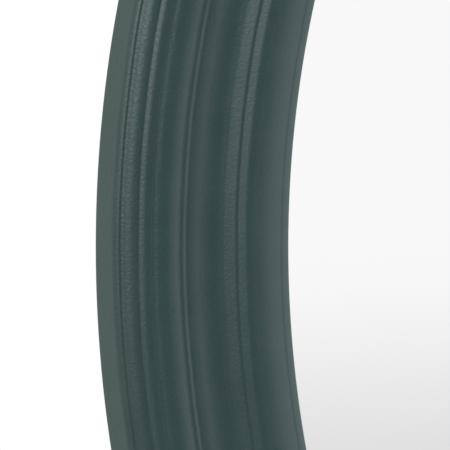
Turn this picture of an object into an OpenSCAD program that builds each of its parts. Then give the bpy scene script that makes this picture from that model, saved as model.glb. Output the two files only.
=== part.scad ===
// Round wall mirror: a moulded ring frame, a mirror pane held in its rebate from behind by
// turn buttons, two D-ring hangers and four wall bumpers.
// Millimetres. The mirror stands upright and faces -Y, +Z is up, and the wall is the plane y = 0.
// The origin is the centre of the mirror on the wall.
// Inside each module the mirror lies face up with the back of the ring at z = 0, and upright()
// stands it up and moves it off the wall.

/* [Ring] */
// Overall diameter of the frame
outer_d = 762; // [700:1:900]
// Thickness of the ring at its highest member
stock_t = 18; // [17:0.5:24]
// Height of the thin edge of the lip around the sight opening
lip_edge = 0.8; // [0.4:0.1:1.2]
// Width of the lip, from the sight opening to the wall of the rebate
lip_w = 7.6; // [6:0.1:9]

/* [Moulding, from the rim inwards] */
// Each member is [width, slope where it starts, slope where it ends]. A positive slope climbs
// towards the middle of the mirror. A member with two equal slopes is straight, any other an arc.
// Steep outer side
outer_side = [4.7, 66, 66]; // [0:0.01:80]
// Rounded shoulder on top of the outer side
shoulder = [2.08, 66, 24]; // [0:0.01:80]
// Quirk between the shoulder and the bead
shoulder_quirk = [0.25, -14, -14]; // [-80:0.01:80]
// Foot of the bead
bead_heel = [0.2, 0, 12]; // [0:0.01:80]
// Outer flank of the bead
bead_rise = [0.9, 22, 40]; // [0:0.01:80]
// Long back of the bead
bead_back = [3.85, 40, 0]; // [-80:0.01:80]
// Quirk below the riser
riser_quirk = [0.25, -10, -10]; // [-80:0.01:80]
// Riser up to the flat
riser = [0.95, 38, 27]; // [0:0.01:80]
// Rounding on top of the riser
riser_top = [1.35, 27, 3]; // [0:0.01:80]
// Flat above the riser
upper_flat = [1.23, 3, 0]; // [0:0.01:80]
// Hairline groove in the flat
flat_groove = [0.25, -12, -12]; // [-80:0.01:80]
// Small second riser
small_riser = [1.05, 8, 19]; // [0:0.01:80]
// Rounding on top of the second riser
small_riser_top = [1.8, 19, 2]; // [0:0.01:80]
// Crown of the outer half, the highest member
outer_crown = [0.78, 2, 0]; // [0:0.01:80]
// Convex fall from the crown
ogee_fall = [3.69, 0, -30]; // [-80:0.01:80]
// Hollow at the foot of that fall
ogee_fillet = [1.23, -30, 3]; // [-80:0.01:80]
// Small rounded step down
step_fall = [0.74, 0, -33]; // [-80:0.01:80]
// Hollow at the foot of the step
step_fillet = [0.82, -33, 3]; // [-80:0.01:80]
// Convex start of the wide cove
cove_fall = [2.86, -4, -21]; // [-80:0.01:80]
// Floor of the cove
cove_floor = [4.3, -21, 0]; // [-80:0.01:80]
// Climb out of the cove
cove_rise = [2.3, 0, 16]; // [0:0.01:80]
// Faint ledge in the climb
cove_ledge = [0.45, 13, 13]; // [0:0.01:80]
// Climb above the ledge
band_rise = [0.83, 15, 21]; // [0:0.01:80]
// Nearly straight band at the top of the climb
cove_band = [2.4, 21, 22]; // [0:0.01:80]
// Rounding from the band into its quirk
band_quirk = [0.9, 22, -5]; // [-80:0.01:80]
// Foot of the inner band
inner_heel = [0.3, 4, 22]; // [0:0.01:80]
// Straight inner band
inner_band = [1.75, 22, 22]; // [0:0.01:80]
// Rounding on top of the inner band
inner_band_top = [1, 22, 3]; // [0:0.01:80]
// Crown of the inner half
inner_crown = [1.3, 3, -6]; // [-80:0.01:80]
// Slow start of the fall towards the glass
inner_ogee_top = [1.8, -7, -10]; // [-80:0.01:80]
// Long convex fall towards the glass
inner_ogee = [5.84, -10, -43]; // [-80:0.01:80]
// Quirk above the lip
lip_quirk = [0.5, -43, -20]; // [-80:0.01:80]
// Rounding from the quirk onto the lip
lip_shoulder = [0.45, -20, -44]; // [-80:0.01:80]
// Steep lip down to the glass
lip_face = [1.5, -44, -56]; // [-80:0.01:80]

/* [Mirror pane and back] */
// Thickness of the silvered glass
glass_t = 4; // [3:1:5]
// Thickness of the foam tape between the lip and the glass
tape_t = 0.8; // [0.5:0.1:1]
// Width of the foam tape
tape_w = 5; // [4:0.5:6]
// Thickness of the backing board
board_t = 3; // [2.5:0.5:3]
// Gap around the glass, filled by the edge spacers
glass_gap = 1.5; // [1:0.1:2]
// Gap around the cushion sheet and the backing board
board_gap = 0.8; // [0.5:0.1:1.5]
// Number of edge spacers
spacer_count = 8; // [6:1:12]
// Radial play of a spacer in that gap
spacer_play = 0.3; // [0.2:0.05:0.5]
// Length of the arc of one edge spacer, degrees
spacer_arc = 4; // [2:0.5:6]

/* [Turn buttons] */
// Radius of the circle of pivots
pivot_r = 343; // [342:0.5:346]
// Thickness of the steel plate
button_t = 1.2; // [1:0.1:1.5]
// Width of the plate, and the diameter of its round ends
button_w = 10; // [9:0.5:11]
// From the pivot to the tip
button_reach = 22; // [19:0.5:25]
// Play under and over a plate
button_gap = 0.05; // [0.02:0.01:0.1]

/* [Screws] */
// Diameter of the thread
screw_d = 3.5; // [3:0.5:3.5]
// Length below the head
screw_len = 12; // [10:0.5:12]
// Diameter of the pan head
head_d = 7; // [6:0.5:7.5]
// Height of the pan head
head_h = 2.2; // [1.8:0.1:2.4]
// Radial play of a screw in a plate
hole_play = 0.05; // [0.03:0.01:0.1]

/* [D-ring hangers] */
// Distance of each hanger from the middle, along X
hanger_x = 330; // [326:1:334]
// Height of the ring's bar above the middle
hanger_z = 148; // [144:1:152]
// Width of the strap
strap_w = 10; // [9:0.5:11]
// From the ring's bar to the end of the strap
strap_len = 32; // [31:0.5:34]
// Thickness of the steel sheet that is folded double
sheet_t = 0.8; // [0.6:0.1:0.9]
// From the ring's bar to each screw
strap_holes = [9.5, 25.5]; // [9:0.5:26]
// Diameter of the ring's wire
wire_d = 2.5; // [2:0.1:2.5]
// Radial play of the bar in its loop
bar_play = 0.08; // [0.05:0.01:0.1]
// Clear width inside the ring
ring_inside = 16; // [15:0.5:17]
// Bend radius of the two corners of the ring, at the middle of the wire
ring_corner = 2.5; // [2:0.1:3]
// Straight part of each side of the ring
ring_leg = 3; // [2:0.5:4]

/* [Wall bumpers] */
// Height of a bumper, which is the gap between the frame and the wall
bumper_t = 5; // [5:0.5:8]
// Diameter where a bumper sticks to the frame
bumper_d = 12.7; // [10:0.1:14]
// Diameter of the flat that touches the wall
bumper_flat_d = 9; // [7:0.5:9.5]
// Radius of the circle that the bumpers stand on
bumper_r = 357; // [352:1:362]

/* [Hidden] */
BUTTON_COUNT = 8;
BUMPER_ANGLES = [67.5, 112.5, 247.5, 292.5];
SLOPE_PER_STEP = 8;
FINE = 0.01;
paint = [0.20, 0.29, 0.28];
silver = [0.90, 0.92, 0.93];
steel = [0.72, 0.73, 0.75];
foam = [0.86, 0.86, 0.84];
hardboard = [0.42, 0.29, 0.19];
rubber = [0.10, 0.10, 0.10];

MEMBERS = [
    outer_side, shoulder, shoulder_quirk, bead_heel, bead_rise, bead_back,
    riser_quirk, riser, riser_top, upper_flat, flat_groove,
    small_riser, small_riser_top, outer_crown, ogee_fall, ogee_fillet,
    step_fall, step_fillet, cove_fall, cove_floor,
    cove_rise, cove_ledge, band_rise, cove_band, band_quirk,
    inner_heel, inner_band, inner_band_top, inner_crown, inner_ogee_top, inner_ogee,
    lip_quirk, lip_shoulder, lip_face
];
CROWN_END = 14; // the number of members up to the end of outer_crown

// Where a member is after a share of its turn: [distance inwards, climb]
function bend_r(m) = m[0] / (sin(m[1]) - sin(m[2]));
function along(m, share) =
    let (slope = m[1] + share * (m[2] - m[1]))
    m[1] == m[2]
        ? [m[0] * share, m[0] * share * tan(m[1])]
        : bend_r(m) * [sin(m[1]) - sin(slope), cos(slope) - cos(m[1])];
// Where member i starts
function start_of(i) = i == 0 ? [0, 0] : start_of(i - 1) + along(MEMBERS[i - 1], 1);
function steps_of(m) = max(1, ceil(abs(m[1] - m[2]) / SLOPE_PER_STEP));

section_end = start_of(len(MEMBERS));
rim_h = stock_t - start_of(CROWN_END)[1];
outer_r = outer_d / 2;
sight_r = outer_r - section_end[0];
lip_z = rim_h + section_end[1] - lip_edge;
rebate_r = sight_r + lip_w;
glass_r = rebate_r - glass_gap;
board_r = rebate_r - board_gap;
glass_z = lip_z - tape_t - glass_t;
cushion_t = glass_z - board_t;
head_z = -button_t - 2 * button_gap;
strap_t = 2 * sheet_t;
loop_r = wire_d / 2 + bar_play;
bar_drop = loop_r + sheet_t;
ring_half = (ring_inside + wire_d) / 2;

module upright() rotate([90, 0, 0]) translate([0, 0, bumper_t]) children();

module disc(r, z, h) translate([0, 0, z]) cylinder(r = r, h = h, $fn = 180);

// Puts its children at every pivot, pointing at the middle along -X
module at_buttons() for (i = [1 : BUTTON_COUNT]) at_button(i) children();
module at_button(i)
    rotate([0, 0, (i - 1) * 360 / BUTTON_COUNT]) translate([pivot_r, 0, 0]) children();

// Side is -1 for the hanger at -X and 1 for the one at +X. The origin is below the ring's bar.
module at_hanger(side) translate([side * hanger_x, hanger_z, 0]) children();
module at_strap_holes() for (hole = strap_holes) translate([0, -hole, 0]) children();

// Face of the moulding as points [radius, height], from the rim to the sight opening
function face_points() = [
    [outer_r, rim_h],
    for (i = [0 : len(MEMBERS) - 1])
        let (m = MEMBERS[i], from = start_of(i), steps = steps_of(m))
        for (k = [1 : steps])
            let (p = from + along(m, k / steps)) [outer_r - p[0], rim_h + p[1]]
];

module pilot_hole(underside)
    translate([0, 0, -FINE]) cylinder(d = screw_d, h = screw_len + underside + FINE, $fn = 32);

module frame_moulding() {
    color(paint) upright() difference() {
        rotate_extrude($fn = 180) polygon(concat(
            [[outer_r, 0]],
            face_points(),
            [[sight_r, lip_z], [rebate_r, lip_z], [rebate_r, 0]]
        ));
        at_buttons() pilot_hole(head_z);
        for (side = [-1, 1]) at_hanger(side) at_strap_holes() pilot_hole(-strap_t);
    }
}

module rebate_tape() {
    color(foam) upright() difference() {
        disc(sight_r + 1 + tape_w, lip_z - tape_t, tape_t);
        disc(sight_r + 1, lip_z - tape_t - 1, tape_t + 2);
    }
}

module mirror_glass() {
    color(silver) upright() disc(glass_r, glass_z, glass_t);
}

module glass_edge_spacers() {
    spacer_w = glass_gap - spacer_play;
    color(foam) upright()
        for (i = [1 : spacer_count])
            rotate([0, 0, (i - 0.5) * 360 / spacer_count - spacer_arc / 2])
                rotate_extrude(angle = spacer_arc, $fn = 180)
                    translate([glass_r, glass_z]) square([spacer_w, glass_t]);
}

module cushion_sheet() {
    color(foam) upright() disc(board_r, board_t, cushion_t);
}

module backing_board() {
    color(hardboard) upright() disc(board_r, 0, board_t);
}

module turn_button(i) {
    tip = button_reach - button_w / 2;
    color(steel) upright() at_button(i)
        translate([0, 0, -button_gap - button_t]) linear_extrude(button_t) difference() {
            union() {
                circle(d = button_w, $fn = 48);
                translate([-tip, 0]) circle(d = button_w, $fn = 48);
                translate([-tip, -button_w / 2]) square([tip, button_w]);
            }
            circle(r = screw_d / 2 + hole_play, $fn = 32);
        }
}

// Pan head wood screw, driven along +Z, with the underside of its head at the origin
module pan_head_screw() {
    edge = 1.2;
    recess = [4, 0.9, 1.3];
    difference() {
        rotate_extrude($fn = 48) polygon(concat(
            [[0, screw_len], [screw_d / 2, screw_len - screw_d], [screw_d / 2, 0], [head_d / 2, 0]],
            [for (a = [0 : 15 : 90])
                [head_d / 2 - edge + edge * cos(a), edge - head_h - edge * sin(a)]],
            [[0, -head_h]]
        ));
        for (turn = [45, 135])
            rotate([0, 0, turn]) translate([0, 0, -head_h]) cube(recess + [0, 0, recess[2]], center = true);
    }
}

module turn_button_screws() {
    color(steel) upright() at_buttons() translate([0, 0, head_z]) pan_head_screw();
}

// Sheet folded round the ring's bar and back on itself, with a round end and two holes
module hanger_strap(side) {
    color(steel) upright() at_hanger(side) difference() {
        intersection() {
            rotate([90, 0, 90]) linear_extrude(strap_w, center = true) difference() {
                union() {
                    translate([-strap_len, -strap_t]) square([strap_len, strap_t]);
                    translate([0, -bar_drop]) circle(r = bar_drop, $fn = 48);
                }
                translate([0, -bar_drop]) circle(r = loop_r, $fn = 48);
            }
            translate([0, 0, -2 * bar_drop - 1]) linear_extrude(2 * bar_drop + 2) union() {
                translate([0, strap_w / 2 - strap_len]) circle(d = strap_w, $fn = 48);
                translate([-strap_w / 2, strap_w / 2 - strap_len]) square([strap_w, strap_len]);
            }
        }
        at_strap_holes() translate([0, 0, -strap_t - 1])
            cylinder(r = screw_d / 2 + hole_play, h = strap_t + 2, $fn = 32);
    }
}

// Wire bent to a D: a straight bar along X, two round corners, two legs and a half-round bow
module d_ring(side) {
    color(steel) upright() at_hanger(side) translate([0, 0, -bar_drop]) {
        rotate([0, 90, 0])
            cylinder(d = wire_d, h = 2 * (ring_half - ring_corner), center = true, $fn = 32);
        for (hand = [0, 1]) mirror([hand, 0, 0]) {
            translate([ring_half - ring_corner, ring_corner, 0]) rotate([0, 0, -90])
                rotate_extrude(angle = 90, $fn = 64)
                    translate([ring_corner, 0]) circle(d = wire_d, $fn = 32);
            translate([ring_half, ring_corner, 0]) rotate([-90, 0, 0])
                cylinder(d = wire_d, h = ring_leg, $fn = 32);
        }
        translate([0, ring_corner + ring_leg, 0])
            rotate_extrude(angle = 180, $fn = 64) translate([ring_half, 0]) circle(d = wire_d, $fn = 32);
    }
}

module hanger_screws() {
    color(steel) upright() for (side = [-1, 1])
        at_hanger(side) at_strap_holes() translate([0, 0, -strap_t]) pan_head_screw();
}

module wall_bumper(i) {
    color(rubber) upright() rotate([0, 0, BUMPER_ANGLES[i - 1]]) translate([bumper_r, 0, -bumper_t])
        cylinder(d1 = bumper_flat_d, d2 = bumper_d, h = bumper_t, $fn = 48);
}

frame_moulding();
rebate_tape();
mirror_glass();
glass_edge_spacers();
cushion_sheet();
backing_board();
for (i = [1 : BUTTON_COUNT])
    turn_button(i);
turn_button_screws();
hanger_strap(-1);  // hanger_strap_left
hanger_strap(1);  // hanger_strap_right
d_ring(-1);  // d_ring_left
d_ring(1);  // d_ring_right
hanger_screws();
for (i = [1 : len(BUMPER_ANGLES)])
    wall_bumper(i);
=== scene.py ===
"""Round wall mirror: a turned, painted ring frame, the mirror pane held in it, and the back's hardware.

Metres throughout, in the CAD's frame: the mirror faces -Y, +Z is up and the wall is the plane y = 0.
"""

import math

import bmesh
import bpy
from mathutils import Matrix, Vector
from mathutils.geometry import tessellate_polygon


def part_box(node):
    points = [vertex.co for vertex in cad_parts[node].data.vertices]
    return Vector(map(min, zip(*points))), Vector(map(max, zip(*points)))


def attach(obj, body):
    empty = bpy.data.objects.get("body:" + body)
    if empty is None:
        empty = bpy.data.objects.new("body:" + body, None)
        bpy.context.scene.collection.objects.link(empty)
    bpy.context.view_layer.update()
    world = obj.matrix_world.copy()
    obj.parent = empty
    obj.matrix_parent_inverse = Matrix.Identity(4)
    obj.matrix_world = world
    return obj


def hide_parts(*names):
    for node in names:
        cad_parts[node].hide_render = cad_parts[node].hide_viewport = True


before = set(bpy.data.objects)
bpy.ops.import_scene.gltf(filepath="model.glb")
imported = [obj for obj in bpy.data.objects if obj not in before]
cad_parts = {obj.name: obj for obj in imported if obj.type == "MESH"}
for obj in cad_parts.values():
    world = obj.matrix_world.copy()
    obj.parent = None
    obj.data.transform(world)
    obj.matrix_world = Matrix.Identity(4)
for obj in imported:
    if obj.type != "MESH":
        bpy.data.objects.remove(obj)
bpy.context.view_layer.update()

TAU = 2 * math.pi

# ---------------------------------------------------------------- sizes
WALL_GAP = 0.005
OUTER_R = 0.381
FACE_MIDDLE_R = 0.354
STOCK_T = 0.018
LIP_EDGE = 0.0008
LIP_W = 0.0076
# Members of the moulding from the rim inwards: name, width, slope where it starts and where it
# ends, in degrees. A positive slope climbs towards the middle.
MEMBERS = [
    ("outer_side", 0.0047, 66, 66),
    ("shoulder", 0.00208, 66, 24),
    ("shoulder_quirk", 0.00025, -14, -14),
    ("bead_heel", 0.0002, 0, 12),
    ("bead_rise", 0.0009, 22, 40),
    ("bead_back", 0.00385, 40, 0),
    ("riser_quirk", 0.00025, -10, -10),
    ("riser", 0.00095, 38, 27),
    ("riser_top", 0.00135, 27, 3),
    ("upper_flat", 0.00123, 3, 0),
    ("flat_groove", 0.00025, -12, -12),
    ("small_riser", 0.00105, 8, 19),
    ("small_riser_top", 0.0018, 19, 2),
    ("outer_crown", 0.00078, 2, 0),
    ("ogee_fall", 0.00369, 0, -30),
    ("ogee_fillet", 0.00123, -30, 3),
    ("step_fall", 0.00074, 0, -33),
    ("step_fillet", 0.00082, -33, 3),
    ("cove_fall", 0.00286, -4, -21),
    ("cove_floor", 0.0043, -21, 0),
    ("cove_rise", 0.0023, 0, 16),
    ("cove_ledge", 0.00045, 13, 13),
    ("band_rise", 0.00083, 15, 21),
    ("cove_band", 0.0024, 21, 22),
    ("band_quirk", 0.0009, 22, -5),
    ("inner_heel", 0.0003, 4, 22),
    ("inner_band", 0.00175, 22, 22),
    ("inner_band_top", 0.001, 22, 3),
    ("inner_crown", 0.0013, 3, -6),
    ("inner_ogee_top", 0.0018, -7, -10),
    ("inner_ogee", 0.00584, -10, -43),
    ("lip_quirk", 0.0005, -43, -20),
    ("lip_shoulder", 0.00045, -20, -44),
    ("lip_face", 0.0015, -44, -56),
]
CROWN = "outer_crown"
# A straight member's points, as shares of its width; a round one's longest facet and largest turn
STRAIGHT_SHARES = (0.08, 0.92, 1.0)
FACET = 0.0004
FACET_TURN = 5
RING_SEGMENTS = 480
EASED = 0.0004
# Height of an extra point on the rim's side, as a share of it
RIM_POINT = 0.6
HOLE_SIDES = 24

DISC_SEGMENTS = 256
GLASS_ARRIS = 0.0004
BOARD_EASED = 0.0003

BUMPER_BASE_R = 0.00635
BUMPER_FLAT_R = 0.0045
# The bumper's side: share of its base's radius, share of its height
BUMPER_SIDE = ((0.93, 0.0), (1.0, 0.05), (0.965, 0.3), (0.905, 0.6), (0.82, 0.85), (0.765, 0.96))
BUMPER_SEGMENTS = 64

FOAM_SEGMENTS = 240
TAPE_W = 0.005
TAPE_ROUND = 0.0002
CUSHION_BULGE = 0.0011
SPACER_COUNT = 8
SPACER_W = 0.0012
SPACER_ARC = math.radians(4)
# A spacer's stations: share of half its length, rounding of its section
SPACER_STATIONS = ((-1, 0.0005), (-0.97, 0.00025), (-0.5, 0.0002), (0, 0.0002), (0.5, 0.0002),
                   (0.97, 0.00025), (1, 0.0005))

PIVOT_R = 0.343
BUTTON_COUNT = 8
BUTTON_T = 0.0012
BUTTON_W = 0.010
BUTTON_REACH = 0.022
BUTTON_GAP = 0.00005
BUTTON_ROLL = 0.00035
BUTTON_ARRIS = 0.0001
# Steps round a half circle and along a straight side of an outline
HALF_TURN_STEPS = 24
SIDE_STEPS = 12

SCREW_D = 0.0035
SCREW_LEN = 0.012
HEAD_D = 0.007
HEAD_H = 0.0022
HEAD_ROUND = 0.0012
HEAD_ARRIS = 0.0001
# The head's nearly flat top: distance in from its rounding, depth under its highest point
HEAD_TOP = ((0.0009, 0.0), (0.0002, 0.00004))
HEAD_UNDERSIDE = BUTTON_T + 2 * BUTTON_GAP
HOLE_PLAY = 0.00005
SHANK_R = 0.0015
NECK_R = 0.0019
NECK_H = 0.0003
SCREW_SIDES = 32
# The shank's rows start under the neck, and the thread rises to full height over its fade
THREAD_START = 0.0008
THREAD_FROM = 0.0012
THREAD_FADE = 0.0015
THREAD_CORE = 0.00115
THREAD_PITCH = 0.0014
# Half a thread's width, as a share of the pitch
THREAD_FLANK = 0.26
THREAD_ROWS = 96
# The point: the length left off it, and how much wider it is than a true cone, as a share
POINT_BLUNT = 0.0001
POINT_SHARE = 0.02
# The cross recess: depth under the head's top, reach of an arm, half its width
RECESS = ((-0.0005, 0.0021, 0.00048), (0.0, 0.0020, 0.00045), (0.0013, 0.0011, 0.0003))

HANGER_X = 0.330
HANGER_Z = 0.148
SHEET_T = 0.0008
STRAP_T = 2 * SHEET_T
STRAP_W = 0.010
STRAP_LEN = 0.032
STRAP_HOLES = (0.0095, 0.0255)
STRAP_FOLD = 0.001
BEND_STEPS = 28
FOLD_STEPS = 8
STRAP_HOLE_SIDES = 32
STRAP_EASED = 0.00008
LAYER_GAP = 0.00003
# The shapes that cut the strap: how far they pass it, and their reach off the frame and upwards
CUT_MARGIN = 0.001
CUT_DEPTH = 0.006
CUT_TOP = 0.01
WIRE_D = 0.0025
WIRE_SIDES = 24
WIRE_JOINT = 0.00015
# The wire's cut ends: length of their chamfer, and their radius as a share of the wire's
WIRE_CHAMFER = 0.0001
WIRE_END = 0.9
# How far before a bend the straight wire gets its last ring of points
BEND_LEAD = 0.002
BAR_PLAY = 0.00008
BAR_DROP = WIRE_D / 2 + BAR_PLAY + SHEET_T
RING_INSIDE = 0.016
RING_CORNER = 0.0025
RING_LEG = 0.003

# Places of the turn buttons' pivots and of the straps' screws on the back, as (x, z)
BUTTON_ANGLES = [TAU * i / BUTTON_COUNT for i in range(BUTTON_COUNT)]
PIVOTS = [(PIVOT_R * math.cos(a), PIVOT_R * math.sin(a)) for a in BUTTON_ANGLES]
STRAP_SCREWS = [(side * HANGER_X, HANGER_Z - drop) for side in (-1, 1) for drop in STRAP_HOLES]
# How far round each screw was driven, in radians
TURN_SCREW_SPINS = [0.7 * i for i in range(BUTTON_COUNT)]
STRAP_SCREW_SPINS = [-0.12, 0.52, 0.88, 1.52]


# ---------------------------------------------------------------- meshes
def turn_outwards(mesh):
    shape = bmesh.new()
    shape.from_mesh(mesh)
    bmesh.ops.recalc_face_normals(shape, faces=shape.faces)
    shape.to_mesh(mesh)
    shape.free()


def make_piece(name, body, verts, faces, materials, nodes, sharp, indices=None):
    """A piece from points and faces, riding on a body in place of CAD nodes.

    Edges that turn by more than sharp degrees stay crisp.
    """
    mesh = bpy.data.meshes.new(name)
    mesh.from_pydata([tuple(v) for v in verts], [], faces)
    for material in materials:
        mesh.materials.append(material)
    if indices:
        mesh.polygons.foreach_set("material_index", indices)
    mesh.validate()
    turn_outwards(mesh)
    mesh.shade_smooth()
    mesh.set_sharp_from_angle(angle=math.radians(sharp))
    piece = bpy.data.objects.new(name, mesh)
    bpy.context.scene.collection.objects.link(piece)
    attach(piece, body)
    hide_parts(*nodes)
    return piece


def upright(radius, angle, height):
    """A point of the upright mirror, from its radius, angle from +X and height off the ring's back."""
    return Vector((radius * math.cos(angle), -WALL_GAP - height, radius * math.sin(angle)))


def turned(profile, segments, place):
    """Points and faces of an open profile of (radius, height) turned about the axis."""
    verts = []
    for i in range(segments):
        verts += [place(r, TAU * i / segments, h) for r, h in profile]
    count = len(profile)
    faces = []
    for i in range(segments):
        a, b = i * count, (i + 1) % segments * count
        faces += [(a + k, a + k + 1, b + k + 1, b + k) for k in range(count - 1)]
    return verts, faces


def capped(profile, segments, place):
    """Like turned, for a profile whose two ends lie on the axis."""
    verts, faces = turned(profile[1:-1], segments, place)
    count = len(profile) - 2
    for end, k in ((profile[0], 0), (profile[-1], count - 1)):
        verts.append(place(end[0], 0, end[1]))
        centre = len(verts) - 1
        for i in range(segments):
            faces.append((centre, i * count + k, (i + 1) % segments * count + k))
    return verts, faces


def disc_profile(radius, low, high, eased):
    """The profile of a flat disc with its edge's two corners cut off."""
    return [(0, low), (radius * 0.5, low), (radius - eased, low), (radius, low + eased),
            (radius, high - eased), (radius - eased, high), (radius * 0.5, high), (0, high)]


def loft(loops, closed):
    """Points and faces of a skin over loops of equal length; closed joins the last to the first."""
    count = len(loops[0])
    verts = [v for loop in loops for v in loop]
    faces = []
    for a in range(len(loops) if closed else len(loops) - 1):
        b = (a + 1) % len(loops)
        for i in range(count):
            j = (i + 1) % count
            faces.append((a * count + i, a * count + j, b * count + j, b * count + i))
    return verts, faces


def capped_loft(loops):
    """An open loft with a flat face over its first and its last loop."""
    verts, faces = loft(loops, False)
    count = len(loops[0])
    faces += [tuple(range(count)), tuple(range(len(verts) - count, len(verts)))]
    return verts, faces


def solid(name, verts, faces):
    """A closed mesh object for carve to work on or with."""
    mesh = bpy.data.meshes.new(name)
    mesh.from_pydata([tuple(v) for v in verts], [], faces)
    turn_outwards(mesh)
    made = bpy.data.objects.new(name, mesh)
    bpy.context.scene.collection.objects.link(made)
    return made


def carve(body, cuts, eased=0.0):
    """Points and faces of a solid after its cuts, each an operation and a second solid."""
    for operation, tool in cuts:
        cut = body.modifiers.new("cut", "BOOLEAN")
        cut.operation = operation
        cut.solver = "EXACT"
        cut.object = tool
    if eased:
        bevel = body.modifiers.new("eased", "BEVEL")
        bevel.width = eased
        bevel.segments = 2
        bevel.limit_method = "ANGLE"
        bevel.angle_limit = math.radians(40)
    evaluated = body.evaluated_get(bpy.context.evaluated_depsgraph_get())
    mesh = bpy.data.meshes.new_from_object(evaluated)
    verts = [v.co.copy() for v in mesh.vertices]
    faces = [tuple(p.vertices) for p in mesh.polygons]
    bpy.data.objects.remove(body)
    for _, tool in cuts:
        bpy.data.objects.remove(tool)
    return verts, faces


# ---------------------------------------------------------------- moulding
def member_point(member, share):
    """How far inwards and up a point of a member is, at a share of its turn."""
    _, width, start, end = member
    a, b = math.radians(start), math.radians(end)
    if start == end:
        return width * share, width * share * math.tan(a)
    radius = width / (math.sin(a) - math.sin(b))
    slope = a + (b - a) * share
    return radius * (math.sin(a) - math.sin(slope)), radius * (math.cos(slope) - math.cos(a))


def member_shares(member):
    """Shares at which a member gets points: close to the ends of a straight one, even on an arc."""
    _, width, start, end = member
    if start == end:
        return STRAIGHT_SHARES
    steps = max(3, math.ceil(width / FACET), math.ceil(abs(start - end) / FACET_TURN))
    return [(k + 1) / steps for k in range(steps)]


def face_section():
    """(distance from the rim, climb) along the face, and the climb at the crown."""
    points, inwards, climb, crown = [(0.0, 0.0)], 0.0, 0.0, 0.0
    for member in MEMBERS:
        for share in member_shares(member):
            step = member_point(member, share)
            points.append((inwards + step[0], climb + step[1]))
        inwards, climb = points[-1]
        if member[0] == CROWN:
            crown = climb
    return points, crown


section, crown_climb = face_section()
RIM_H = STOCK_T - crown_climb
SIGHT_R = OUTER_R - section[-1][0]
LIP_Z = RIM_H + section[-1][1] - LIP_EDGE
REBATE_R = SIGHT_R + LIP_W


# ---------------------------------------------------------------- node helpers
class Graph:
    """Builds a node tree; an input given as a socket is linked, anything else is its value."""

    def __init__(self, tree):
        self.tree = tree

    def node(self, kind, inputs=None, **settings):
        made = self.tree.nodes.new("ShaderNode" + kind)
        for key, value in settings.items():
            setattr(made, key, value)
        for key, value in (inputs or {}).items():
            self.set(made, key, value)
        return made

    def set(self, made, key, value):
        if isinstance(value, bpy.types.NodeSocket):
            self.tree.links.new(value, made.inputs[key])
        else:
            made.inputs[key].default_value = value

    def math(self, operation, a, b=0.0):
        return self.node("Math", {0: a, 1: b}, operation=operation).outputs[0]

    def vector(self, operation, a, b=(0, 0, 0)):
        return self.node("VectorMath", {0: a, 1: b}, operation=operation).outputs[0]

    def scale(self, vector, factor):
        return self.node("VectorMath", {0: vector, "Scale": factor}, operation="SCALE").outputs[0]

    def length(self, vector):
        return self.node("VectorMath", {0: vector}, operation="LENGTH").outputs["Value"]

    def here(self):
        """Coordinates fixed to the piece, in metres."""
        return self.node("TexCoord").outputs["Object"]

    def noise(self, at, scale, detail=2.0, rough=0.5, distortion=0.0):
        made = self.node("TexNoise", {
            "Vector": at, "Scale": scale, "Detail": detail, "Roughness": rough,
            "Distortion": distortion,
        })
        return made.outputs["Fac"]

    def span(self, value, low, high, to_low=0.0, to_high=1.0):
        made = self.node("MapRange", {
            "Value": value, "From Min": low, "From Max": high, "To Min": to_low, "To Max": to_high,
        })
        return made.outputs["Result"]

    def blend(self, share, a, b):
        made = self.node("Mix", {0: share, 6: a, 7: b}, data_type="RGBA")
        return made.outputs[2]

    def ramp(self, value, stops):
        """Colours along a value, from stops of (position, colour) in rising order."""
        made = self.node("ValToRGB", {0: value})
        elements = made.color_ramp.elements
        elements[0].position, elements[0].color = stops[0]
        elements[1].position, elements[1].color = stops[-1]
        for position, colour in stops[1:-1]:
            elements.new(position).color = colour
        return made.outputs[0]

    def bump(self, height, distance, onto=None):
        inputs = {"Height": height, "Distance": distance, "Strength": 1.0}
        if onto is not None:
            inputs["Normal"] = onto
        return self.node("Bump", inputs).outputs[0]


def rgb(red, green, blue):
    """Linear colour from display values of 0 to 255."""
    def linear(value):
        value /= 255
        return value / 12.92 if value <= 0.04045 else ((value + 0.055) / 1.055) ** 2.4
    return (linear(red), linear(green), linear(blue), 1.0)


def grey(value):
    return (value, value, value, 1.0)


def new_material(name):
    """A material with its graph and principled shader."""
    material = bpy.data.materials.new(name)
    material.use_nodes = True
    return material, Graph(material.node_tree), material.node_tree.nodes["Principled BSDF"]


def link(graph, socket, shader, name):
    graph.tree.links.new(socket, shader.inputs[name])


def polar(graph, stretch=1.0):
    """Seamless coordinates that run round the ring at its mean radius, with the radius as depth."""
    at = graph.here()
    parts = graph.node("SeparateXYZ", {0: at})
    flat = graph.node("CombineXYZ", {"X": parts.outputs["X"], "Z": parts.outputs["Z"]}).outputs[0]
    radius = graph.length(flat)
    round_it = graph.scale(graph.vector("NORMALIZE", flat), FACE_MIDDLE_R)
    depth = graph.math("MULTIPLY", radius, stretch)
    along = graph.node("CombineXYZ", {"Y": depth}).outputs[0]
    return graph.vector("ADD", round_it, along), radius


# ---------------------------------------------------------------- materials
PAINT = rgb(61.5, 86, 83)
PAINT_DEEP = rgb(58, 82, 79)
MDF = rgb(178, 149, 114)
MDF_DARK = rgb(158, 130, 97)
MDF_FIBRE = rgb(120, 94, 66)
MDF_PALE = rgb(203, 178, 146)
BOARD = rgb(122, 88, 60)
BOARD_DARK = rgb(92, 64, 43)
BOARD_PALE = rgb(148, 112, 80)

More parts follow.
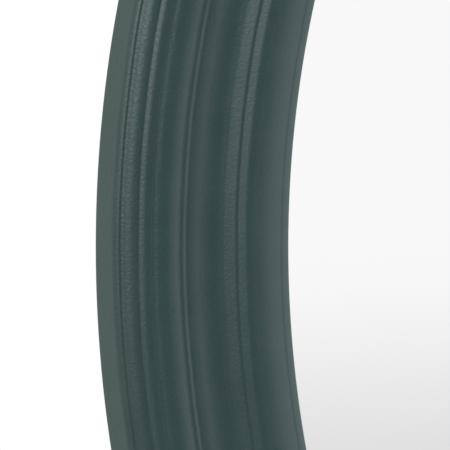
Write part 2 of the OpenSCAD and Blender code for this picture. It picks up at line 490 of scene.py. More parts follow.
# Depths of the reliefs
PAINT_RELIEF = 0.000075
MDF_RELIEF = 0.00004
GROUND_RELIEF = 0.00004
FILM_RELIEF = 0.00002
FOAM_RELIEF = 0.00015
FIBRE_RELIEF = 0.00012
SCREEN_RELIEF = 0.00004
ZINC_RELIEF = 0.00001
RUBBER_RELIEF = 0.00004

WRINKLE_STRETCH = 0.92
# The wrinkles are this share as deep inside the first radius, and full beyond the second
COAT_THIN = 0.68
COAT_RADII = (0.350, 0.362)
# Reach of the overspray from the rim and from the rebate, and how wide it is dense at the rim
RIM_MIST = 0.013
REBATE_MIST = 0.0035
RIM_DENSE = 0.0005
SCREEN_PITCH = 0.0016


def paint_material():
    """Satin teal paint with the fine wrinkles of a sprayed coat, fainter on the inner members, and the
    wrinkles' shade painted into its colour.
    """
    material, g, shader = new_material("satin_teal_paint")
    at, radius = polar(g, WRINKLE_STRETCH)
    wrinkles = g.noise(at, 1300.0, 1.0, 0.5, 0.3)
    drift = g.noise(at, 90.0, 2.0, 0.5)
    tone = g.blend(g.span(drift, 0.3, 0.7), PAINT_DEEP, PAINT)
    # Painted shade of the wrinkles: the colour is darker in their hollows and lighter on their crests
    wrinkle_shade = g.span(wrinkles, 0.3, 0.7, 0.95, 1.05)
    tone = g.scale(tone, wrinkle_shade)
    shader.inputs["Specular IOR Level"].default_value = 0.5
    link(g, tone, shader, "Base Color")
    link(g, g.span(wrinkles, 0.25, 0.75, 0.285, 0.315), shader, "Roughness")
    coat = g.span(radius, *COAT_RADII, COAT_THIN, 1.0)
    relief = g.math("MULTIPLY", g.math("SUBTRACT", wrinkles, 0.5), coat)
    link(g, g.bump(relief, PAINT_RELIEF), shader, "Normal")
    return material


def back_material():
    """Bare MDF, with a mist of teal overspray that thins out from the rim and from the rebate."""
    material, g, shader = new_material("bare_mdf_with_overspray")
    at, radius = polar(g)
    fibres = g.noise(g.vector("MULTIPLY", at, (1.0, 1.0, 0.5)), 2400.0, 3.0, 0.65, 0.4)
    clouds = g.noise(at, 60.0, 3.0, 0.55)
    board = g.blend(g.span(clouds, 0.3, 0.7), MDF_DARK, MDF)
    board = g.blend(g.span(fibres, 0.46, 0.66, 0.0, 0.6), board, MDF_FIBRE)
    board = g.blend(g.span(fibres, 0.5, 0.36, 0.0, 0.5), board, MDF_PALE)
    edge = g.math("MAXIMUM", g.span(radius, OUTER_R - RIM_MIST, OUTER_R - RIM_DENSE),
                  g.span(radius, REBATE_R + REBATE_MIST, REBATE_R))
    drift = g.span(g.noise(at, 110.0, 2.0, 0.5), 0.3, 0.7, -0.16, 0.16)
    droplets = g.span(g.noise(at, 1500.0, 2.0, 0.6), 0.3, 0.7, -0.42, 0.42)
    mist = g.span(g.math("ADD", g.math("ADD", edge, drift), droplets), 0.2, 0.9)
    link(g, g.blend(mist, board, PAINT), shader, "Base Color")
    link(g, g.span(mist, 0.0, 1.0, 0.8, 0.45), shader, "Roughness")
    link(g, g.bump(fibres, MDF_RELIEF), shader, "Normal")
    return material


def silver_material():
    """The silvered front: a clean mirror with a trace of haze where it was last wiped."""
    material, g, shader = new_material("silvered_glass")
    at = g.here()
    haze = g.noise(g.vector("MULTIPLY", at, (1.0, 1.0, 0.35)), 14.0, 3.0, 0.6)
    drift = g.span(g.noise(at, 3.0), 0.35, 0.65)
    tint = g.blend(drift, (0.93, 0.93, 0.93, 1), (0.928, 0.932, 0.93, 1))
    shader.inputs["Metallic"].default_value = 1.0
    link(g, tint, shader, "Base Color")
    link(g, g.span(haze, 0.5, 0.9, 0.0, 0.025), shader, "Roughness")
    return material


def ground_edge_material():
    """The ground edge of float glass, pale green and matt."""
    material, g, shader = new_material("ground_glass_edge")
    at = g.here()
    grit = g.noise(at, 2200.0, 2.0, 0.7)
    link(g, g.blend(grit, rgb(150, 178, 168), rgb(186, 206, 197)), shader, "Base Color")
    link(g, g.span(grit, 0.3, 0.7, 0.3, 0.5), shader, "Roughness")
    link(g, g.bump(grit, GROUND_RELIEF), shader, "Normal")
    return material


def backing_paint_material():
    """The grey protective paint on the back of a mirror pane."""
    material, g, shader = new_material("mirror_backing_paint")
    at = g.here()
    film = g.noise(at, 25.0, 3.0, 0.5)
    link(g, g.blend(film, rgb(112, 116, 120), rgb(126, 130, 133)), shader, "Base Color")
    link(g, g.span(film, 0.3, 0.7, 0.4, 0.55), shader, "Roughness")
    link(g, g.bump(g.noise(at, 900.0), FILM_RELIEF), shader, "Normal")
    return material


def foam_material():
    """Closed-cell foam: off-white, yellowed here and there, with small round cells, each painted darker
    in its hollow as shade.
    """
    material, g, shader = new_material("closed_cell_foam")
    at = g.here()
    cells = g.node("TexVoronoi", {"Vector": at, "Scale": 1400.0}).outputs["Distance"]
    # Painted shade: each cell is darker in its hollow, where the relief is lowest
    tone = g.blend(g.span(cells, 0.1, 0.7), rgb(196, 196, 190), rgb(222, 222, 217))
    aged = g.span(g.noise(at, 30.0), 0.4, 0.9)
    link(g, g.blend(aged, tone, rgb(205, 203, 193)), shader, "Base Color")
    link(g, g.span(cells, 0.0, 0.7, 0.75, 0.95), shader, "Roughness")
    link(g, g.bump(cells, FOAM_RELIEF), shader, "Normal")
    return material


def hardboard_material():
    """Hardboard with its screen side out: brown fibres, the fine imprint of the mesh, and painted shade
    in the imprint's dips.
    """
    material, g, shader = new_material("hardboard")
    at = g.here()
    parts = g.node("SeparateXYZ", {0: at})
    turns = TAU / SCREEN_PITCH
    weave = g.math("ADD", g.math("SINE", g.math("MULTIPLY", parts.outputs["X"], turns)),
                   g.math("SINE", g.math("MULTIPLY", parts.outputs["Z"], turns)))
    fibres = g.noise(g.vector("MULTIPLY", at, (1.0, 1.0, 0.45)), 1500.0, 4.0, 0.65, 0.6)
    clouds = g.noise(at, 18.0, 4.0, 0.6)
    tone = g.blend(g.span(clouds, 0.3, 0.7), BOARD_DARK, BOARD)
    tone = g.blend(g.span(fibres, 0.52, 0.75, 0.0, 0.6), tone, BOARD_PALE)
    # Painted shade: darker in the deepest dips of the screen's imprint
    tone = g.blend(g.span(weave, -2.0, -0.6, 0.35, 0.0), tone, BOARD_DARK)
    link(g, tone, shader, "Base Color")
    link(g, g.span(fibres, 0.3, 0.8, 0.62, 0.82), shader, "Roughness")
    relief = g.bump(fibres, FIBRE_RELIEF, g.bump(weave, SCREEN_RELIEF))
    link(g, relief, shader, "Normal")
    return material


def zinc_material(name, dull, bright, low, high):
    """Bright zinc plating: spangled tone, faint rubbing marks and tiny pits."""
    material, g, shader = new_material(name)
    at = g.here()
    bloom = g.noise(at, 260.0, 3.0, 0.6, 0.5)
    rubbed = g.noise(g.vector("MULTIPLY", at, (1.0, 1.0, 9.0)), 900.0, 2.0, 0.6)
    pits = g.node("TexVoronoi", {"Vector": at, "Scale": 1700.0}).outputs["Distance"]
    shader.inputs["Metallic"].default_value = 1.0
    link(g, g.blend(g.span(bloom, 0.3, 0.7), dull, bright), shader, "Base Color")
    rough = g.span(bloom, 0.3, 0.7, high, low)
    rough = g.math("ADD", rough, g.span(rubbed, 0.35, 0.7, -0.05, 0.07))
    link(g, rough, shader, "Roughness")
    pitted = g.bump(g.span(pits, 0.0, 0.15), ZINC_RELIEF)
    link(g, g.bump(rubbed, ZINC_RELIEF, pitted), shader, "Normal")
    return material


def rubber_material():
    """Moulded black rubber with a matt skin and a little dust."""
    material, g, shader = new_material("moulded_rubber")
    at = g.here()
    skin = g.noise(at, 2400.0, 2.0, 0.6)
    dust = g.noise(at, 500.0, 3.0, 0.65)
    tone = g.blend(g.span(dust, 0.55, 0.8, 0.0, 0.35), rgb(28, 28, 29), rgb(88, 86, 82))
    link(g, tone, shader, "Base Color")
    link(g, g.span(dust, 0.3, 0.7, 0.5, 0.7), shader, "Roughness")
    link(g, g.bump(skin, RUBBER_RELIEF), shader, "Normal")
    return material


paint = paint_material()
raw_back = back_material()
silver = silver_material()
ground_edge = ground_edge_material()
backing_paint = backing_paint_material()
foam = foam_material()
hardboard = hardboard_material()
plate_zinc = zinc_material("zinc_plate", (0.46, 0.46, 0.45, 1), (0.68, 0.69, 0.70, 1), 0.26, 0.40)
wire_zinc = zinc_material("zinc_wire", (0.55, 0.55, 0.54, 1), (0.76, 0.76, 0.77, 1), 0.17, 0.28)
screw_zinc = zinc_material("zinc_screw", (0.50, 0.47, 0.38, 1), (0.72, 0.69, 0.58, 1), 0.22, 0.34)
rubber = rubber_material()


# ---------------------------------------------------------------- ring
# Slow waves of the hand-rubbed members: waves round the ring, phase, phase per metre, share
WAVER = ((23, 0.4, 260.0, 0.45), (47, 2.1, -190.0, 0.33), (83, 4.4, 340.0, 0.22))
WAVER_DEPTH = 0.00011
WAVER_EDGE = 0.004


def waver(radius, angle):
    """How far a member strays from its true radius; nothing at the rim and at the sight edge."""
    inside = min(OUTER_R - radius, radius - SIGHT_R) / WAVER_EDGE
    depth = WAVER_DEPTH * min(1.0, max(0.0, inside))
    waves = sum(share * math.sin(count * angle + phase + turn * radius)
                for count, phase, turn, share in WAVER)
    return depth * waves


def wavering(radius, angle, height):
    return upright(radius + waver(radius, angle), angle, height)


def circle(centre, radius, count):
    return [centre + radius * Vector((math.cos(TAU * i / count), math.sin(TAU * i / count)))
            for i in range(count)]


def pilot_hole(centre, depth, first):
    """Points and faces of a hole drilled in the ring's back; its mouth is the first points."""
    rim = circle(centre, SCREW_D / 2, HOLE_SIDES)
    verts = [Vector((p.x, -WALL_GAP - off, p.y)) for off in (0, depth) for p in rim]
    mouth = range(first, first + HOLE_SIDES)
    end = first + HOLE_SIDES
    faces = []
    for i, j in enumerate(mouth):
        after = (i + 1) % HOLE_SIDES
        faces.append((j, first + after, end + after, j + HOLE_SIDES))
    faces.append(tuple(range(end, end + HOLE_SIDES)))
    return verts, faces, list(mouth)


def make_ring():
    """The ring: its face, lip and rebate turned, its flat back cut out round the pilot holes."""
    corner = EASED * (1 - math.sqrt(0.5))
    profile = [(OUTER_R - EASED, 0.0), (OUTER_R - corner, corner), (OUTER_R, EASED)]
    profile.append((OUTER_R, RIM_H * RIM_POINT))
    face_start = len(profile)
    profile += [(OUTER_R - inwards, RIM_H + climb) for inwards, climb in section]
    face_end = len(profile)
    profile += [(SIGHT_R, LIP_Z), (REBATE_R, LIP_Z), (REBATE_R, 0.0)]
    verts, faces = turned(profile, RING_SEGMENTS, upright)
    count = len(profile)
    for i in range(RING_SEGMENTS):
        for k in range(face_start, face_end):
            verts[i * count + k] = wavering(profile[k][0], TAU * i / RING_SEGMENTS, profile[k][1])
    indices = [0] * len(faces)

    outer = [i * count for i in range(RING_SEGMENTS)]
    inner = [i * count + count - 1 for i in range(RING_SEGMENTS)]
    loops = [outer, inner]
    screws = [(Vector((x, z)), HEAD_UNDERSIDE) for x, z in PIVOTS]
    screws += [(Vector((x, z)), STRAP_T) for x, z in STRAP_SCREWS]
    for centre, underside in screws:
        points, walls, mouth = pilot_hole(centre, SCREW_LEN - underside, len(verts))
        verts += points
        faces += walls
        indices += [1] * len(walls)
        loops.append(mouth)
    flat = [[Vector((verts[i].x, verts[i].z, 0)) for i in loop] for loop in loops]
    order = [i for loop in loops for i in loop]
    for triangle in tessellate_polygon(flat):
        faces.append(tuple(order[i] for i in triangle))
        indices.append(1)
    make_piece("ring_frame", "mirror", verts, faces, [paint, raw_back],
               ["frame_moulding"], sharp=50, indices=indices)


def node_span(node):
    """The radius of a round CAD piece and its two faces, as heights off the ring's back."""
    low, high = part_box(node)
    return (high[0] - low[0]) / 2, -WALL_GAP - high[1], -WALL_GAP - low[1]


def make_glass():
    """The mirror pane: silvered face, ground edge with two small arrises, painted back."""
    radius, back, front = node_span("mirror_glass")
    verts, faces = capped(disc_profile(radius, back, front, GLASS_ARRIS), DISC_SEGMENTS, upright)
    indices = []
    for face in faces:
        heights = [-WALL_GAP - verts[i].y for i in face]
        if min(heights) > front - GLASS_ARRIS / 2:
            indices.append(0)
        else:
            indices.append(2 if max(heights) < back + GLASS_ARRIS / 2 else 1)
    make_piece("mirror_pane", "mirror", verts, faces, [silver, ground_edge, backing_paint],
               ["mirror_glass"], sharp=20, indices=indices)


def make_board():
    """The backing board, with its sawn edge eased."""
    radius, back, front = node_span("backing_board")
    verts, faces = capped(disc_profile(radius, back, front, BOARD_EASED), DISC_SEGMENTS, upright)
    make_piece("hardboard_back", "mirror", verts, faces, [hardboard],
               ["backing_board"], sharp=20)


def make_bumper(number):
    """A stick-on bumper with a bulging side; its flat is as wide as the CAD's."""
    low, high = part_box(f"wall_bumper_{number}")
    centre = Vector(((low[0] + high[0]) / 2, (low[2] + high[2]) / 2))
    profile = [(0, 0.0)]
    profile += [(BUMPER_BASE_R * share, -WALL_GAP * drop) for share, drop in BUMPER_SIDE]
    profile += [(BUMPER_FLAT_R, -WALL_GAP), (BUMPER_FLAT_R * 0.5, -WALL_GAP), (0, -WALL_GAP)]

    def place(radius, angle, height):
        return Vector((centre.x + radius * math.cos(angle), -WALL_GAP - height,
                       centre.y + radius * math.sin(angle)))

    verts, faces = capped(profile, BUMPER_SEGMENTS, place)
    make_piece(f"bumper_{number}", "mirror", verts, faces, [rubber],
               [f"wall_bumper_{number}"], sharp=50)


# ---------------------------------------------------------------- foam
def rounded_section(inner, outer, low, high, corner):
    """A closed loop of (radius, height) round a ring's section, its four corners rounded."""
    points = []
    for r, h, start in ((outer - corner, high - corner, 0), (inner + corner, high - corner, 90),
                        (inner + corner, low + corner, 180), (outer - corner, low + corner, 270)):
        for turn in (0, 30, 60, 90):
            a = math.radians(start + turn)
            points.append((r + corner * math.cos(a), h + corner * math.sin(a)))
    return points


def make_tape():
    """The foam tape between the lip and the glass."""
    outer, low, high = node_span("rebate_tape")
    outline = rounded_section(outer - TAPE_W, outer, low, high, TAPE_ROUND)
    loops = [[upright(r, TAU * i / FOAM_SEGMENTS, h) for r, h in outline]
             for i in range(FOAM_SEGMENTS)]
    verts, faces = loft(loops, True)
    tape = make_piece("foam_tape", "mirror", verts, faces, [foam], ["rebate_tape"], sharp=50)


def make_cushion():
    """The foam sheet between the glass and the board; its cut edge bulges where it is pressed."""
    radius, low, high = node_span("cushion_sheet")
    middle, half = (low + high) / 2, (high - low) / 2
    flat = radius - 3 * CUSHION_BULGE
    profile = [(0, low), (radius * 0.5, low), (flat, low)]
    for degrees in range(-90, 91, 15):
        a = math.radians(degrees)
        bulge = CUSHION_BULGE * math.cos(a)
        profile.append((radius - CUSHION_BULGE + bulge, middle + half * math.sin(a)))
    profile += [(flat, high), (radius * 0.5, high), (0, high)]
    verts, faces = capped(profile, FOAM_SEGMENTS, upright)
    sheet = make_piece("foam_sheet", "mirror", verts, faces, [foam],
                       ["cushion_sheet"], sharp=60)


def make_spacers():
    """Blocks of foam that centre the glass in its rebate, rounded at their ends."""
    inner, low, high = node_span("mirror_glass")
    verts, faces = [], []
    for number in range(SPACER_COUNT):
        middle = TAU * (number + 0.5) / SPACER_COUNT
        loops = []
        for share, corner in SPACER_STATIONS:
            angle = middle + share * SPACER_ARC / 2
            outline = rounded_section(inner, inner + SPACER_W, low, high, corner)
            loops.append([upright(r, angle, h) for r, h in outline])
        points, skin = capped_loft(loops)
        faces += [tuple(len(verts) + i for i in face) for face in skin]
        verts += points
    blocks = make_piece("foam_spacers", "mirror", verts, faces, [foam],
                        ["glass_edge_spacers"], sharp=50)


# ---------------------------------------------------------------- hardware
def half_circle(middle, radius, start):
    """Points over half a circle round a point of the X axis, from a start angle on."""
    angles = [start + math.pi * i / HALF_TURN_STEPS for i in range(HALF_TURN_STEPS + 1)]
    return [(middle + radius * math.cos(a), radius * math.sin(a)) for a in angles]


def stadium(half, length):
    """Outline round two circles of one radius, the first at the origin, the other along +X."""
    sides = [length * (i / SIDE_STEPS) ** 2 for i in range(1, SIDE_STEPS)]
    points = half_circle(0.0, half, math.pi / 2) + [(u, -half) for u in sides]
    points += half_circle(length, half, -math.pi / 2) + [(u, half) for u in reversed(sides)]
    return points


def make_turn_button(number):
    """A stamped plate: rolled edge above, sharper edge below, and its eased hole."""
    angle = BUTTON_ANGLES[number - 1]
    inwards = Vector((-math.cos(angle), -math.sin(angle)))
    across = Vector((-inwards.y, inwards.x))
    pivot = -inwards * PIVOT_R
    low, high = BUTTON_GAP, BUTTON_GAP + BUTTON_T
    hole = SCREW_D / 2 + HOLE_PLAY
    half, length = BUTTON_W / 2, BUTTON_REACH - BUTTON_W / 2
    directions = [math.atan2(v, u) for u, v in stadium(half, length)]

    def at(u, v, off):
        p = pivot + inwards * u + across * v
        return Vector((p.x, -WALL_GAP + off, p.y))

    def hole_edge(radius, off):
        return [at(radius * math.cos(a), radius * math.sin(a), off) for a in directions]

    def plate_edge(inset, off):
        return [at(u, v, off) for u, v in stadium(half - inset, length)]

    roll, arris = BUTTON_ROLL, BUTTON_ARRIS
    loops = [hole_edge(hole, low + arris), hole_edge(hole, high - arris)]
    loops.append(hole_edge(hole + arris, high))
    for degrees in (0, 22.5, 45, 67.5, 90):
        a = math.radians(degrees)
        loops.append(plate_edge(roll * (1 - math.sin(a)), high - roll * (1 - math.cos(a))))
    loops += [plate_edge(0, low + arris), plate_edge(arris, low), hole_edge(hole + arris, low)]
    verts, faces = loft(loops, True)
    make_piece(f"turn_plate_{number}", f"turn_button_{number}", verts, faces,
               [plate_zinc], [f"turn_button_{number}"], sharp=35)


def thread_row(z):
    """(radius, height) of each side of a threaded shank, at one height."""
    taper = min(1.0, (SCREW_LEN - z) / SCREW_D + POINT_SHARE)
    cut = min(1.0, max(0.0, (z - THREAD_FROM) / THREAD_FADE))
    core = THREAD_CORE + (SHANK_R - THREAD_CORE) * (1 - cut)
    row = []
    for i in range(SCREW_SIDES):
        phase = (z / THREAD_PITCH - i / SCREW_SIDES) % 1.0
        crest = max(0.0, 1 - abs(phase - 0.5) / THREAD_FLANK) * cut
        row.append(((core + (SCREW_D / 2 - core) * crest) * taper, z))
    return row


def screw_rows():
    """Rows of (radius, height) round a pan head screw, from its head's top to its point at +Z."""
    head_r = HEAD_D / 2
    crown = head_r - HEAD_ROUND
    outline = [(crown - inwards, drop - HEAD_H) for inwards, drop in HEAD_TOP]
    for degrees in range(90, -1, -15):
        a = math.radians(degrees)
        rise = HEAD_ROUND - HEAD_H - HEAD_ROUND * math.sin(a)
        outline.append((crown + HEAD_ROUND * math.cos(a), rise))
    outline += [(head_r, -HEAD_ARRIS), (head_r - HEAD_ARRIS, 0.0), (NECK_R, 0.0), (SHANK_R, NECK_H)]
    rows = [[point] * SCREW_SIDES for point in outline]
    length = SCREW_LEN - THREAD_START - POINT_BLUNT
    for k in range(THREAD_ROWS):
        rows.append(thread_row(THREAD_START + length * k / (THREAD_ROWS - 1)))
    return rows


def recess():
    """A cross that narrows downwards, to cut the screw's head with."""
    loops = []
    for depth, arm, half in RECESS:
        loop = []
        for quarter in range(4):
            turn = Matrix.Rotation(math.pi / 4 + math.pi / 2 * quarter, 2)
            for corner in ((arm, -half), (arm, half), (half, half)):
                loop.append((*(turn @ Vector(corner)), -HEAD_H + depth))
        loops.append(loop)
    return solid("recess", *capped_loft(loops))


def screw_mesh():
    """A threaded pan head screw with a cross recess. It points along +Z from under its head."""
    angles = [TAU * i / SCREW_SIDES for i in range(SCREW_SIDES)]
    loops = [[Vector((r * math.cos(a), r * math.sin(a), z)) for a, (r, z) in zip(angles, row)]
             for row in screw_rows()]
    return carve(solid("screw_blank", *capped_loft(loops)), [("DIFFERENCE", recess())])


def make_screws(name, node, places, underside, spins):
    """Copies of the screw, each driven in as far as its head's underside and to its own turn."""
    verts, faces = [], []
    for (x, z), turn in zip(places, spins):
        spin = Matrix.Rotation(turn, 3, "Z")
        first = len(verts)
        for p in SCREW[0]:
            q = spin @ p
            verts.append(Vector((x + q.x, -WALL_GAP + underside - q.z, z + q.y)))
        faces += [tuple(first + i for i in face) for face in SCREW[1]]
    make_piece(name, "mirror", verts, faces, [screw_zinc], [node], sharp=32)


def make_d_ring(side, name):
    """Bent wire: its two ends meet in the middle of the bar, inside the strap's loop."""
    half = (RING_INSIDE + WIRE_D) / 2
    straight, end = half - RING_CORNER, WIRE_JOINT / 2
    right = [(end, 0), (end + WIRE_CHAMFER, 0), (straight - BEND_LEAD, 0), (straight, 0)]
    for degrees in range(10, 91, 10):
        a = math.radians(degrees)
        right.append((straight + RING_CORNER * math.sin(a), RING_CORNER * (1 - math.cos(a))))
    bow = RING_CORNER + RING_LEG
    right += [(half, bow - RING_LEG / 2), (half, bow)]
    for degrees in range(6, 91, 6):
        a = math.radians(degrees)
        right.append((half * math.cos(a), bow + half * math.sin(a)))
    origin = Vector((side * HANGER_X, -WALL_GAP + BAR_DROP, HANGER_Z))
    left = [(-x, z) for x, z in reversed(right[:-1])]
    path = [origin + Vector((x, 0, z)) for x, z in right + left]

    loops = []
    last = len(path) - 1
    angles = [TAU * k / WIRE_SIDES for k in range(WIRE_SIDES)]
    for i, p in enumerate(path):
        along = (path[min(last, i + 1)] - path[max(0, i - 1)]).normalized()
        out = Vector((along.z, 0, -along.x))
        radius = WIRE_D / 2 * (WIRE_END if i in (0, last) else 1.0)
        loops.append([p + radius * Vector((math.cos(a) * out.x, math.sin(a), math.cos(a) * out.z))
                      for a in angles])
    verts, faces = capped_loft(loops)
    make_piece(f"d_wire_{name}", f"d_ring_{name}", verts, faces, [wire_zinc],
               [f"d_ring_{name}"], sharp=40)


def strap_path():
    """The folded sheet's middle line from end to end: up the frame, round the bar, down again.

    Each station is a height, a distance off the frame, and the sheet's normal in those two.
    """
    bend, fold, end = BAR_DROP - SHEET_T / 2, STRAP_FOLD, -STRAP_LEN - CUT_MARGIN
    outer = SHEET_T * 1.5
    tip = math.asin((outer + fold - BAR_DROP) / (bend + fold))
    lean = (bend + fold) * math.cos(tip)
    stations = [(end, SHEET_T / 2, 0, 1)]
    last = 1.5 * math.pi - tip
    for step in range(BEND_STEPS + 1):
        a = last * step / BEND_STEPS
        up, away = -math.sin(a), math.cos(a)
        stations.append((-bend * up, BAR_DROP - bend * away, up, away))
    for step in range(1, FOLD_STEPS + 1):
        a = tip + (math.pi / 2 - tip) * step / FOLD_STEPS
        up, away = math.cos(a), -math.sin(a)
        stations.append((-lean + fold * up, outer + fold + fold * away, up, away))
    stations.append((end, outer, 0, -1))
    return stations


def strap_mesh():
    """One strap with its bar at the origin: the sheet folded, then cut to its outline and drilled."""
    half, thick = STRAP_W / 2, SHEET_T - LAYER_GAP
    loops = []
    for height, off, up, away in strap_path():
        loops.append([(side * STRAP_W, off + face * away * thick / 2, height + face * up * thick / 2)
                      for side, face in ((-1, -1), (1, -1), (1, 1), (-1, 1))])
    strip = solid("strip", *capped_loft(loops))

    def prism(outline):
        loops = [[(x, off, z) for x, z in outline] for off in (-CUT_MARGIN, CUT_DEPTH)]
        return solid("tool", *capped_loft(loops))

    foot = [(u, half - STRAP_LEN - v) for u, v in half_circle(0.0, half, 0.0)]
    cuts = [("INTERSECT", prism(foot + [(-half, CUT_TOP), (half, CUT_TOP)]))]
    for drop in STRAP_HOLES:
        hole = circle(Vector((0, -drop)), SCREW_D / 2 + HOLE_PLAY, STRAP_HOLE_SIDES)
        cuts.append(("DIFFERENCE", prism(hole)))
    return carve(strip, cuts, STRAP_EASED)


def make_strap(side, name):
    verts = [Vector((side * HANGER_X + p[0], -WALL_GAP + p[1], HANGER_Z + p[2])) for p in STRAP[0]]
    make_piece(f"strap_{name}", "mirror", verts, STRAP[1], [plate_zinc],
               [f"hanger_strap_{name}"], sharp=35)


make_ring()
make_glass()
make_board()
make_tape()
make_cushion()
make_spacers()
for number in range(1, 5):
    make_bumper(number)
for number in range(1, BUTTON_COUNT + 1):
    make_turn_button(number)
SCREW = screw_mesh()
make_screws("turn_screws", "turn_button_screws", PIVOTS, HEAD_UNDERSIDE, TURN_SCREW_SPINS)
make_screws("strap_screws", "hanger_screws", STRAP_SCREWS, STRAP_T, STRAP_SCREW_SPINS)
STRAP = strap_mesh()
for side, name in ((-1, "left"), (1, "right")):
    make_d_ring(side, name)
    make_strap(side, name)


# ---------------------------------------------------------------- studio
# Light of the surroundings from straight in front of the mirror, 0, to straight behind it, 1
SURROUNDINGS = ((0.0, grey(0.15)), (0.33, grey(0.15)), (0.52, (0.31, 0.31, 0.30, 1)),
                (1.0, (0.43, 0.475, 0.425, 1)))
# The wide light on the right: the X where it starts, its rise over X, and its most
RIGHT_FROM, RIGHT_RISE, RIGHT_MOST = 0.17, 1.57, 1.12
KEY_AIM = Vector((-0.757, -0.497, 0.45)).normalized()
KEY_FOCUS, KEY_STRENGTH = 18.0, 5.2
FILL_FOCUS, FILL_STRENGTH = 6.0, 0.16
LIGHT_TINT = (0.96, 1.0, 1.04)

PANEL_SIZE = 10.0
PANEL_AWAY = 4.0
PANEL_GLOW = 0.859
# Brightness up the panel, as shares of its height; the eye line is near the last stop
PANEL_STOPS = ((0.0, 0.25), (0.20, 0.30), (0.24, 0.44), (0.27, 0.60), (0.30, 0.70), (0.36, 0.66),
               (0.44, 0.51), (0.47, 0.60), (0.4851, 0.777), (0.495, 0.979), (0.498, 1.0))
PANEL_TILT, TILT_MIDDLE = 0.06, 0.476
# Where the panel starts to fade and ends on the right, as shares of its width
PANEL_FADE = (0.60, 0.76)

NEAR_SIZE = 0.3
NEAR_POWER = 0.13
NEAR_AT = Vector((-0.36, -0.32, 0.26))
NEAR_AIM = Vector((-0.36, 0, 0))

FLOOR_R = 11.0
FLOOR_SIDES = 64
# The floor fades into the white background between these distances from the ring's middle
FLOOR_FADE = (0.4, 3.0)
FLOOR_LIFT = (0.55, 1.0)

SENSOR_W = 36.0
VIEW_DISTANCE = 2.5
VIEW_WIDTH = 0.127725
VIEW_AT = (-0.344309, -0.006, 0.006085)


def world_light():
    """Soft studio light as a smooth function of direction, and a white background."""
    world = bpy.data.worlds.new("studio")
    bpy.context.scene.world = world
    world.use_nodes = True
    world.node_tree.nodes.clear()
    g = Graph(world.node_tree)
    towards = g.node("TexCoord").outputs["Generated"]
    parts = g.node("SeparateXYZ", {0: towards})
    x, y = parts.outputs["X"], parts.outputs["Y"]
    around = g.ramp(g.span(y, -1.0, 1.0), SURROUNDINGS)

    # A wide soft light on the right, a key light at the upper left and a weak fill at the left
    right = g.math("MULTIPLY", g.math("SUBTRACT", x, RIGHT_FROM), RIGHT_RISE)
    right = g.math("MINIMUM", g.math("MAXIMUM", right, 0.0), RIGHT_MOST)
    facing = g.node("VectorMath", {0: towards, 1: KEY_AIM}, operation="DOT_PRODUCT").outputs["Value"]
    key = g.math("POWER", g.math("MAXIMUM", facing, 0.0), KEY_FOCUS)
    key = g.math("MULTIPLY", key, KEY_STRENGTH)
    fill = g.math("MAXIMUM", g.math("MULTIPLY", x, -1.0), 0.0)
    fill = g.math("MULTIPLY", g.math("POWER", fill, FILL_FOCUS), FILL_STRENGTH)
    lobes = g.scale(LIGHT_TINT, g.math("ADD", g.math("ADD", right, key), fill))
    light = g.node("Background", {"Color": g.vector("ADD", around, lobes)})
    white = g.node("Background", {"Color": (1, 1, 1, 1)})
    seen = g.node("LightPath").outputs["Is Camera Ray"]
    mixed = g.node("MixShader", {0: seen, 1: light.outputs[0], 2: white.outputs[0]})
    g.node("OutputWorld", {0: mixed.outputs[0]})


def square_light(name, size, energy):
    """A square area light that the camera doesn't see, with its lamp data."""
    lamp = bpy.data.lights.new(name, "AREA")
    lamp.shape = "SQUARE"
    lamp.size = size
    lamp.energy = energy
    made = bpy.data.objects.new(name, lamp)
    bpy.context.scene.collection.objects.link(made)
    made.visible_camera = False
    return made, lamp


def mirror_panel():
    """A large white panel in front, which only the mirror sees. It darkens below the eye line."""
    panel, lamp = square_light("mirror_panel", PANEL_SIZE, PANEL_GLOW * math.pi * PANEL_SIZE ** 2)
    panel.location = (0, -PANEL_AWAY, 0)
    panel.rotation_euler = (math.pi / 2, 0, 0)
    lamp.cycles.max_bounces = 1
    lamp.use_nodes = True
    lamp.node_tree.nodes.clear()
    g = Graph(lamp.node_tree)
    place = g.node("SeparateXYZ", {0: g.node("NewGeometry").outputs["Parametric"]})
    across, up = place.outputs["X"], place.outputs["Y"]
    tilt = g.math("MULTIPLY", g.math("SUBTRACT", across, TILT_MIDDLE), PANEL_TILT)
    shades = g.ramp(g.math("SUBTRACT", up, tilt), [(at, grey(value)) for at, value in PANEL_STOPS])
    beside = g.span(across, *PANEL_FADE, 1.0, 0.0)
    glow = g.node("Emission", {"Color": shades, "Strength": beside})
    g.node("OutputLight", {0: glow.outputs[0]})
    group = bpy.data.collections.new("lit_by_panel")
    group.objects.link(bpy.data.objects["mirror_pane"])
    panel.light_linking.receiver_collection = group


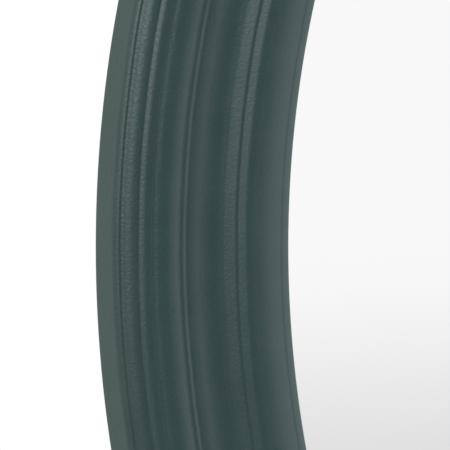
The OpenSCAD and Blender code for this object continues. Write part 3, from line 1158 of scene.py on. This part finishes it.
def near_light():
    """A soft lamp close above the left side, so that the light falls off gently down the ring."""
    made, _ = square_light("near_light", NEAR_SIZE, NEAR_POWER)
    made.location = NEAR_AT
    made.rotation_euler = (NEAR_AIM - NEAR_AT).to_track_quat("-Z", "Y").to_euler()
    made.visible_glossy = False


def floor():
    """A pale floor under the ring that fades into the white background."""
    verts = [(p.x, p.y, -OUTER_R) for p in circle(Vector((0, 0)), FLOOR_R, FLOOR_SIDES)]
    mesh = bpy.data.meshes.new("floor")
    mesh.from_pydata(verts, [], [tuple(range(FLOOR_SIDES))])
    made = bpy.data.objects.new("floor", mesh)
    bpy.context.scene.collection.objects.link(made)
    material = bpy.data.materials.new("pale_floor")
    material.use_nodes = True
    material.node_tree.nodes.clear()
    g = Graph(material.node_tree)
    away = g.length(g.vector("MULTIPLY", g.here(), (1, 1, 0)))
    matt = g.node("BsdfDiffuse", {"Color": (0.9, 0.9, 0.89, 1)})
    lift = g.node("Emission", {"Color": (1, 1, 1, 1)})
    share = g.node("MapRange", {
        "Value": away, "From Min": FLOOR_FADE[0], "From Max": FLOOR_FADE[1],
        "To Min": FLOOR_LIFT[0], "To Max": FLOOR_LIFT[1],
    }, interpolation_type="SMOOTHSTEP")
    mixed = g.node("MixShader", {0: share.outputs[0], 1: matt.outputs[0], 2: lift.outputs[0]})
    g.node("OutputMaterial", {0: mixed.outputs[0]})
    mesh.materials.append(material)
    made.visible_diffuse = False
    made.visible_glossy = False
    made.visible_transmission = False
    made.visible_shadow = False


def camera():
    """Straight in front of the left side of the ring, close enough to show a part of it."""
    data = bpy.data.cameras.new("camera")
    data.sensor_width = SENSOR_W
    data.lens = SENSOR_W * VIEW_DISTANCE / VIEW_WIDTH
    made = bpy.data.objects.new("camera", data)
    bpy.context.scene.collection.objects.link(made)
    made.location = (VIEW_AT[0], VIEW_AT[1] - VIEW_DISTANCE, VIEW_AT[2])
    made.rotation_euler = (math.pi / 2, 0, 0)
    bpy.context.scene.camera = made


bpy.context.scene.view_settings.view_transform = "Standard"
world_light()
mirror_panel()
near_light()
floor()
camera()
